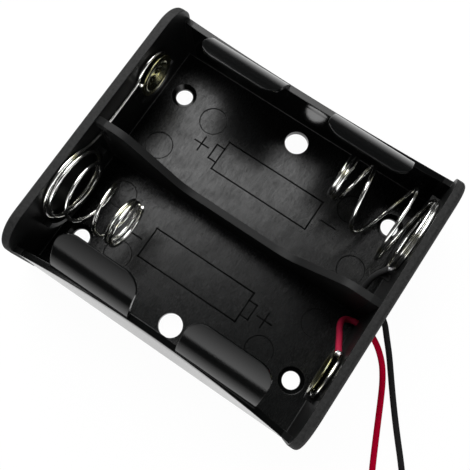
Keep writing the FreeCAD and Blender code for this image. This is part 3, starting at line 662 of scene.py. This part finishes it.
class HOLDER_OT_shell(bpy.types.Operator):
    """Finish the moulded shell and draw the cell outlines on its floor"""

    bl_idname = "cell_holder.shell"
    bl_label = "Shell"

    def execute(self, context):
        looks = context.scene.holder_shell
        dress("holder_body", shell_plastic(looks))
        shape = bmesh.new()
        for box, nub in CELL_OUTLINES:
            self.cell_outline(shape, looks, box, nub)
        for middle, plus in SIGNS:
            self.sign(shape, looks, middle, plus)
        for end, side, spot in itertools.product((-1, 1), (-1, 1), PIN_SPOTS):
            middle = Vector((end * spot[0] * MM, side * spot[1] * MM, FLOOR_TOP))
            self.pin_mark(shape, looks, middle)
        new_piece("floor_lines", shape, line_finish(looks))
        self.seams(looks)
        return {"FINISHED"}

    def seams(self, looks):
        """The fine bead that the mould leaves round the floor of each bay."""
        shape = bmesh.new()
        low = FLOOR_TOP + looks.seam * 0.1
        divider_foot = 1.2 * MM
        for side in (-1, 1):
            across = side * looks.wall_foot
            for end in (-1, 1):
                along = end * looks.plate_foot
                points = [Vector((along, side * divider_foot, low)), Vector((along, across, low))]
                tube(shape, points, looks.seam / 2, 8)
            points = [Vector((-looks.plate_foot, across, low)), Vector((looks.plate_foot, across, low))]
            tube(shape, points, looks.seam / 2, 8)
        # The bead's grey colour is a painted highlight along the junction of floor and walls.
        new_piece("floor_seams", shape, seam_highlight_finish())

    def stroke(self, shape, looks, start, end):
        """A low line on the floor, with sloping sides."""
        first = Vector((start[0] * MM, start[1] * MM, FLOOR_TOP))
        last = Vector((end[0] * MM, end[1] * MM, FLOOR_TOP))
        along = (last - first).normalized()
        beside = Vector((-along.y, along.x, 0)) * looks.line_width / 2
        first -= along * looks.line_width / 2
        last += along * looks.line_width / 2
        top = Vector((0, 0, looks.line_rise))
        sunk = Vector((0, 0, -looks.line_rise))
        rows = []
        for spot in (first, last):
            rows.append([
                shape.verts.new(spot - beside + sunk),
                shape.verts.new(spot - beside * 0.6 + top),
                shape.verts.new(spot + beside * 0.6 + top),
                shape.verts.new(spot + beside + sunk),
            ])
        for step in range(4):
            following = (step + 1) % 4
            shape.faces.new((rows[0][step], rows[0][following], rows[1][following], rows[1][step]))
        shape.faces.new(list(reversed(rows[0])))
        shape.faces.new(rows[1])

    def pin_mark(self, shape, looks, middle):
        """The fine dark edge round an ejector pin's mark."""
        points = []
        sides = 48
        for step in range(sides + 1):
            turn = 2 * math.pi * step / sides
            points.append(middle + Vector((math.cos(turn), math.sin(turn), 0)) * looks.pin / 2)
        tube(shape, points, looks.line_width / 5, 6)

    def cell_outline(self, shape, looks, box, nub):
        """The outline of a cell seen from the side, with its cap."""
        left, right, low, high = box
        corners = [(left, low), (right, low), (right, high), (left, high)]
        for start, end in zip(corners, corners[1:] + corners[:1]):
            self.stroke(shape, looks, start, end)
        far, nub_low, nub_high = nub
        near = left if far < left else right
        for start, end in (
            ((near, nub_low), (far, nub_low)),
            ((far, nub_low), (far, nub_high)),
            ((far, nub_high), (near, nub_high)),
        ):
            self.stroke(shape, looks, start, end)

    def sign(self, shape, looks, middle, plus):
        """A plus or a minus."""
        x, y = middle
        self.stroke(shape, looks, (x - SIGN_REACH, y), (x + SIGN_REACH, y))
        if plus:
            self.stroke(shape, looks, (x, y - SIGN_REACH), (x, y + SIGN_REACH))


class HOLDER_OT_contacts(bpy.types.Operator):
    """Bend the contact wire into its springs, bridge and rings"""

    bl_idname = "cell_holder.contacts"
    bl_label = "Contact wires"

    def execute(self, context):
        wire = context.scene.holder_wire
        buttons = context.scene.holder_buttons
        metal = wire_metal(wire)
        radius = wire.thickness / 2
        shape = tube(bmesh.new(), bridge_wire_line(wire, buttons), radius)
        new_piece("bridge_wire", shape, metal, ["bridge_spring"])

        base_x = NEGATIVE_HIGH.x - radius
        tip_x = NEGATIVE_LOW.x + radius
        base = (Vector((base_x, wire.negative_base_y, wire.negative_base_z)), wire.negative_base / 2)
        tip = (Vector((tip_x, wire.negative_tip_y, wire.negative_tip_z)), wire.negative_tip / 2)
        points = coil_line(NEGATIVE_START, -HALF_TURN, NEGATIVE_HALF_TURNS, base, tip)
        shape = tube(bmesh.new(), points, radius)
        new_piece("negative_wire", shape, metal, ["negative_spring"])

        pitch = wire.thickness + wire.clearance
        middle = Vector((base_x - pitch, BUTTON_ACROSS, BUTTON_HEIGHT))
        ring = buttons.ring / 2
        points = ring_line(RIGHT_RING_START, RIGHT_RING_START - 360, middle, ring, pitch)
        shape = tube(bmesh.new(), points, radius)
        new_piece("positive_wire", shape, metal, ["positive_ring"])
        return {"FINISHED"}


class HOLDER_OT_buttons(bpy.types.Operator):
    """Press the two buttons that meet the cells' caps"""

    bl_idname = "cell_holder.buttons"
    bl_label = "Buttons"

    def execute(self, context):
        looks = context.scene.holder_buttons
        metal = button_metal(looks)
        for node in ("left_button", "right_button"):
            low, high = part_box(node)
            middle = (low + high) / 2
            inward = 1 if middle.x < 0 else -1
            middle.x = high.x if inward > 0 else low.x
            shape = self.pressed_disc(looks, (high.z - low.z) / 2, middle, inward)
            new_piece(f"{node}_disc", shape, metal, [node])
        return {"FINISHED"}

    def profile(self, looks, rim):
        """Radius, and depth behind the rim, of the front from the middle out, then of the back."""
        well = looks.well / 2
        deep = looks.well_depth
        sheet = looks.sheet
        shoulder = well + deep
        steps = 30
        punched = 3
        front = []
        for step in range(steps):
            across = step / steps
            raised = 0.5 - 0.5 * math.cos(2 * math.pi * punched * across)
            front.append((well * 0.92 * across, deep - looks.rings * raised))
        front += [
            (well, deep * 0.96), (well * 1.06, deep * 0.86), (shoulder * 0.95, deep * 0.13),
            (shoulder, deep * 0.03), (shoulder * 1.05, 0), (rim * 0.95, 0),
            (rim * 0.99, sheet * 0.1), (rim, sheet * 0.4),
        ]
        back = [
            (rim, sheet * 0.6), (rim * 0.985, sheet * 0.97), (rim * 0.96, sheet),
            (shoulder * 1.06, sheet), (shoulder, sheet + deep * 0.06), (well * 1.12, sheet + deep * 0.9),
            (well * 1.04, sheet + deep), (0, sheet + deep),
        ]
        return front + back

    def pressed_disc(self, looks, rim, middle, inward):
        """The profile turned about the button's middle."""
        shape = bmesh.new()
        sides = 72
        rows = []
        for radius, depth in self.profile(looks, rim):
            if radius == 0:
                rows.append([shape.verts.new(middle - Vector((inward * depth, 0, 0)))])
                continue
            row = []
            for step in range(sides):
                turn = 2 * math.pi * step / sides
                offset = (-inward * depth, radius * math.cos(turn), radius * math.sin(turn))
                row.append(shape.verts.new(middle + Vector(offset)))
            rows.append(row)
        for first, second in zip(rows, rows[1:]):
            for step in range(sides):
                following = (step + 1) % sides
                corners = [first[step % len(first)], first[following % len(first)],
                           second[following % len(second)], second[step % len(second)]]
                shape.faces.new(list(dict.fromkeys(corners)))
        bmesh.ops.recalc_face_normals(shape, faces=shape.faces)
        return shape


def nurbs_curve(name, points, radius):
    """A curve whose smooth line has the points as its control points."""
    data = bpy.data.curves.new(name, "CURVE")
    data.dimensions = "3D"
    data.resolution_u = 12
    data.bevel_depth = radius
    data.bevel_resolution = 5
    data.use_fill_caps = True
    spline = data.splines.new("NURBS")
    spline.points.add(len(points) - 1)
    for target, point in zip(spline.points, points):
        target.co = (*point, 1)
    spline.order_u = 3
    spline.use_endpoint_u = True
    piece = bpy.data.objects.new(name, data)
    bpy.context.scene.collection.objects.link(piece)
    return piece


def line_of(points):
    """Points read from the smooth line of a route."""
    guide = nurbs_curve("guide", points, 0)
    mesh = bpy.data.meshes.new_from_object(guide)
    line = [vertex.co.copy() for vertex in mesh.vertices]
    bpy.data.objects.remove(guide)
    bpy.data.meshes.remove(mesh)
    return line


def stored_turns(entry, heading, side, looks):
    """Control points of the stored coil, and the middle of its ring.

    The passes lie in a triangle where there are three, and the triangle rolls over by a third
    in the first quarter of each turn, so that no pass runs through another. Under the band,
    from the angle down to the angle up, all passes lie on the ground.
    """
    radius = looks.coil / 2
    left = Vector((-heading.y, heading.x, 0)) * side
    centre = entry + left * radius
    spoke = entry - centre
    triangle = looks.thickness * 0.578
    ground = entry.z
    points = []
    per_turn = 16
    rolling = 0.25
    down, up, easing = 115, 300, 30
    for step in range(round(STORED_TURNS * per_turn) + 1):
        passed = step / per_turn
        whole, rest = divmod(passed, 1.0)
        rolled = whole + min(rest / rolling, 1.0)
        spot = math.radians(270 - 120 * rolled)
        angle = rest * 360
        lying = smooth_step((angle - down) / easing) * (1 - smooth_step((angle - up) / easing))
        height = ground + triangle * (1 + math.sin(spot))
        height -= lying * (height - ground)
        spread = radius + triangle * 1.12 * math.cos(spot)
        turn = side * 2 * math.pi * passed
        out = Vector((
            spoke.x * math.cos(turn) - spoke.y * math.sin(turn),
            spoke.x * math.sin(turn) + spoke.y * math.cos(turn),
            0,
        )).normalized()
        point = centre + out * spread
        point.z = height
        points.append(point)
    return points, centre


def smooth_step(value):
    """0 below 0 and 1 above 1, with a smooth rise between them."""
    held = min(max(value, 0), 1)
    return held * held * (3 - 2 * held)


def free_lead(name, route, side, looks, colour_now):
    """A free lead with its stored coil, its bare end and its tie."""
    outer = [Vector((PLATE_X + along, across, up)) for along, across, up in route]
    heading = (outer[-1] - outer[-2]).normalized()
    entry = outer[-1] + heading * 2 * looks.thickness
    coil, centre = stored_turns(entry, heading, side, looks)
    spoke = coil[-1] - centre
    away = Vector((-spoke.y, spoke.x, 0)).normalized() * side
    end = coil[-1] + away * 3 * looks.thickness
    material = insulation(f"{name}_insulation", colour_now)
    cord = nurbs_curve(f"{name}_cord", outer + coil + [end], looks.thickness / 2)
    cord.data.materials.append(material)
    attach(cord, "root")
    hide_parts(f"{name}_lead", f"{name}_coil")

    tip = new_piece(
        f"{name}_strands", twisted_strands(end, away, looks), tinned_metal(),
        [f"{name}_tip"],
    )
    band = new_piece(
        f"{name}_band", tie_band(centre, entry, looks), tie_plastic(), [f"{name}_tie"]
    )


def twisted_strands(start, heading, looks):
    """Seven tinned strands laid together, six twisted round one."""
    shape = bmesh.new()
    strand = looks.core / 6
    lay = 5 * MM
    count = 40
    beside = Vector((-heading.y, heading.x, 0))
    above = Vector((0, 0, 1))
    for number in range(7):
        points = []
        for step in range(count + 1):
            along = step / count * looks.core_length
            middle = start + heading * (along - looks.core * 0.4)
            if number:
                turn = 2 * math.pi * (number / 6 + along / lay)
                middle = middle + (beside * math.cos(turn) + above * math.sin(turn)) * 2 * strand
            points.append(middle)
        tube(shape, points, strand, 8)
    return shape


def tie_band(centre, entry, looks):
    """A band drawn round the two passes opposite the way in."""
    shape = bmesh.new()
    out = centre - entry
    out.z = 0
    out.normalize()
    along = Vector((-out.y, out.x, 0))
    half_angle = math.radians(10)
    half_width = looks.coil / 2 * half_angle
    middle = centre + out * looks.coil / 2
    middle.z = entry.z + 0.02 * MM
    inner = looks.thickness / 2 + 0.03 * MM
    spread = looks.thickness * 0.6
    count = 40
    rows = []
    for depth in (inner, inner + looks.tie * 0.5):
        for across in (-1, 1):
            row = []
            for step in range(count):
                turn = 2 * math.pi * step / count
                shift = spread * (1 if math.cos(turn) > 0 else -1)
                offset = out * (shift + math.cos(turn) * depth)
                up = Vector((0, 0, max(math.sin(turn) * depth, -inner * 0.98)))
                row.append(shape.verts.new(middle + offset + up + along * half_width * across))
            rows.append(row)
    loops = [rows[0], rows[1], rows[3], rows[2]]
    for first, second in zip(loops, loops[1:] + loops[:1]):
        for step in range(count):
            following = (step + 1) % count
            shape.faces.new((first[step], first[following], second[following], second[step]))
    bmesh.ops.recalc_face_normals(shape, faces=shape.faces)
    return shape


class HOLDER_OT_leads(bpy.types.Operator):
    """Lay the two free leads, with their stored coils, bare ends and ties"""

    bl_idname = "cell_holder.leads"
    bl_label = "Free leads"

    def execute(self, context):
        looks = context.scene.holder_leads
        free_lead("red", RED_ROUTE, -1, looks, looks.red)
        free_lead("black", BLACK_ROUTE, 1, looks, looks.black)
        return {"FINISHED"}


class HOLDER_OT_joints(bpy.types.Operator):
    """Run the leads inside the holder to their solder joints"""

    bl_idname = "cell_holder.joints"
    bl_label = "Inner leads and solder"

    def execute(self, context):
        looks = context.scene.holder_leads
        wire = context.scene.holder_wire
        buttons = context.scene.holder_buttons
        inner_x = NEGATIVE_HIGH.x + wire.clearance
        back = NEGATIVE_HIGH.x - wire.thickness / 2
        red_start = Vector((
            back - (wire.thickness + wire.clearance) / 2,
            BUTTON_ACROSS + buttons.ring / 2,
            BUTTON_HEIGHT,
        ))
        black_start = Vector((
            back - wire.thickness * 0.8,
            wire.negative_base_y - wire.negative_base / 2,
            wire.negative_base_z + wire.thickness * 1.75,
        ))
        jobs = (("red", red_start, -1, RED_BOWS), ("black", black_start, 1, BLACK_BOWS))
        metal = solder_metal()
        random.seed(4)
        for name, start, side, bows in jobs:
            line = line_of(self.inner_route(start, side, bows, inner_x, looks))
            material = bpy.data.materials[f"{name}_insulation"]
            shape = tube(bmesh.new(), line, looks.thickness / 2, 20)
            new_piece(
                f"{name}_inner_lead", shape, material, [f"{name}_lead_inside"]
            )
            drop = self.solder_drop(start, looks.solder / 2)
            new_piece(f"{name}_solder_drop", drop, metal, [f"{name}_solder"])
        return {"FINISHED"}

    def inner_route(self, start, side, bows, inner_x, looks):
        """Control points from a solder joint down to a lead hole and through the end plate."""
        across = side * looks.hole_across
        mouth = Vector((
            inner_x - 2 * looks.thickness, across * 1.25, looks.hole_height + looks.thickness * 0.4
        ))
        points = [start]
        for along, bow in bows:
            points.append(start.lerp(mouth, along) - Vector((bow * MM, 0, 0)))
        points.append(mouth)
        points.append(Vector((inner_x - looks.thickness * 0.3, across, looks.hole_height)))
        points.append(Vector((PLATE_X, across, looks.hole_height)))
        return points

    def solder_drop(self, middle, radius):
        """A drop that sagged and wet the wire unevenly."""
        shape = bmesh.new()
        bmesh.ops.create_icosphere(shape, subdivisions=4, radius=radius)
        shift = Vector((random.random(), random.random(), random.random())) * 10
        for vertex in shape.verts:
            out = vertex.co.normalized()
            swell = 0.9 + 0.16 * noise.noise(out * 1.6 + shift) + 0.05 * noise.noise(out * 5 + shift)
            vertex.co = middle + out * radius * swell
        return shape


class HOLDER_OT_studio(bpy.types.Operator):
    """Set up the camera, the lamps and the pale backdrop"""

    bl_idname = "cell_holder.studio"
    bl_label = "Studio"

    def execute(self, context):
        looks = context.scene.holder_studio
        self.camera(context.scene, looks)
        self.floor(looks)
        self.surroundings(context.scene, looks)
        self.lamp("key", *KEY_LAMP, looks.key)
        self.lamp("side", *SIDE_LAMP, looks.key * SIDE_SHARE)
        context.scene.view_settings.view_transform = "Standard"
        return {"FINISHED"}

    def camera(self, scene, looks):
        """The photograph's own point of view, nearly straight down."""
        data = bpy.data.cameras.new("camera")
        data.lens = looks.lens
        data.sensor_width = SENSOR_MM
        data.clip_start = 0.005
        data.clip_end = 20
        camera = bpy.data.objects.new("camera", data)
        scene.collection.objects.link(camera)
        back = CAMERA_RIGHT.cross(CAMERA_UP)
        matrix = Matrix((CAMERA_RIGHT, CAMERA_UP, back)).transposed().to_4x4()
        matrix.translation = CAMERA_SPOT
        camera.matrix_world = matrix
        scene.camera = camera

    def floor(self, looks):
        """A pale floor that shows white, keeps the shadow, and is mirrored only near the holder."""
        shape = bmesh.new()
        bmesh.ops.create_grid(shape, x_segments=8, y_segments=8, size=2.0)
        bmesh.ops.translate(shape, verts=shape.verts, vec=(0, 0, -0.02 * MM))
        mesh = bpy.data.meshes.new("backdrop_floor")
        shape.to_mesh(mesh)
        shape.free()
        floor = bpy.data.objects.new("backdrop_floor", mesh)
        bpy.context.scene.collection.objects.link(floor)
        finish = Finish(bpy.data.materials.new("backdrop"))
        camera = finish.node("ShaderNodeLightPath", {}, {}, "Is Camera Ray")
        seen = self.seen_rays(finish)
        place = finish.place()
        away = finish.node("ShaderNodeVectorMath", {"operation": "LENGTH"}, {0: place}, "Value")
        mirrored = ((looks.table - away) / (looks.table * 0.4)).held()
        speckle = finish.cloud(place, 3 * MM, detail=3)
        paper = finish.node("ShaderNodeBsdfDiffuse", {}, {
            "Color": finish.blend(speckle, tuple(looks.backdrop), (0.94, 0.94, 0.94, 1)),
        })
        shown = camera + (1 - camera) * mirrored
        light = finish.node("ShaderNodeEmission", {}, {"Color": shown, "Strength": 1.0})
        mixed = finish.node("ShaderNodeMixShader", {}, {0: seen * looks.glow, 1: paper, 2: light})
        finish.node("ShaderNodeOutputMaterial", {}, {"Surface": mixed})
        floor.data.materials.append(finish.owner)

    def seen_rays(self, finish):
        """1 for rays of the camera, of reflections and through glass."""
        camera = finish.node("ShaderNodeLightPath", {}, {}, "Is Camera Ray")
        glossy = finish.node("ShaderNodeLightPath", {}, {}, "Is Glossy Ray")
        through = finish.node("ShaderNodeLightPath", {}, {}, "Is Transmission Ray")
        return (camera + glossy + through).held()

    def surroundings(self, scene, looks):
        """Bright near the horizon, dark straight above, and weaker towards +y and -x."""
        world = bpy.data.worlds.new("surroundings")
        scene.world = world
        finish = Finish(world)
        direction = finish.node("ShaderNodeTexCoord", {}, {}, "Generated")
        height = finish.part(direction, "Z")
        beside = 0.5 - finish.part(direction, "Y") * 0.5
        falling = (1 + finish.part(direction, "X") * 1.5).held()
        low = (1 - height / 0.95).held()
        low = low * low * (3 - 2 * low)
        lit = (looks.fill - looks.overhead) * low * beside.held() * falling
        strength = looks.overhead + lit
        sky = finish.node("ShaderNodeBackground", {}, {"Color": (1, 1, 1, 1), "Strength": strength})
        finish.node("ShaderNodeOutputWorld", {}, {"Surface": sky})

    def lamp(self, name, spot, width, depth, power):
        """A soft lamp that faces the holder."""
        data = bpy.data.lights.new(name, "AREA")
        data.shape = "RECTANGLE"
        data.size = width
        data.size_y = depth
        data.energy = power
        lamp = bpy.data.objects.new(name, data)
        bpy.context.scene.collection.objects.link(lamp)
        lamp.location = spot
        toward = -Vector(spot).normalized()
        beside = Vector((0, 0, 1)).cross(toward).normalized()
        matrix = Matrix((toward.cross(beside), beside, -toward)).transposed()
        lamp.rotation_euler = matrix.to_euler()


STEPS = [
    HOLDER_OT_studio, HOLDER_OT_leads, HOLDER_OT_shell, HOLDER_OT_contacts, HOLDER_OT_buttons,
    HOLDER_OT_joints,
]


class HOLDER_PT_panel(bpy.types.Panel):
    """The holder's steps and settings in the sidebar"""

    bl_idname = "HOLDER_PT_panel"
    bl_label = "Cell holder"
    bl_space_type = "VIEW_3D"
    bl_region_type = "UI"
    bl_category = "Cell holder"

    def draw(self, context):
        for step in STEPS:
            self.layout.operator(step.bl_idname)
        for name, group in GROUPS.items():
            box = self.layout.box()
            settings = getattr(context.scene, name)
            for key in group.__annotations__:
                box.prop(settings, key)


def register():
    for name, group in GROUPS.items():
        bpy.utils.register_class(group)
        setattr(bpy.types.Scene, name, bpy.props.PointerProperty(type=group))
    for step in STEPS:
        bpy.utils.register_class(step)
    bpy.utils.register_class(HOLDER_PT_panel)


def unregister():
    bpy.utils.unregister_class(HOLDER_PT_panel)
    for step in reversed(STEPS):
        bpy.utils.unregister_class(step)
    for name, group in GROUPS.items():
        delattr(bpy.types.Scene, name)
        bpy.utils.unregister_class(group)


def main():
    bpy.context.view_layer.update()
    register()
    for step in STEPS:
        group, name = step.bl_idname.split(".")
        getattr(getattr(bpy.ops, group), name)()


if __name__ == "__main__":
    main()
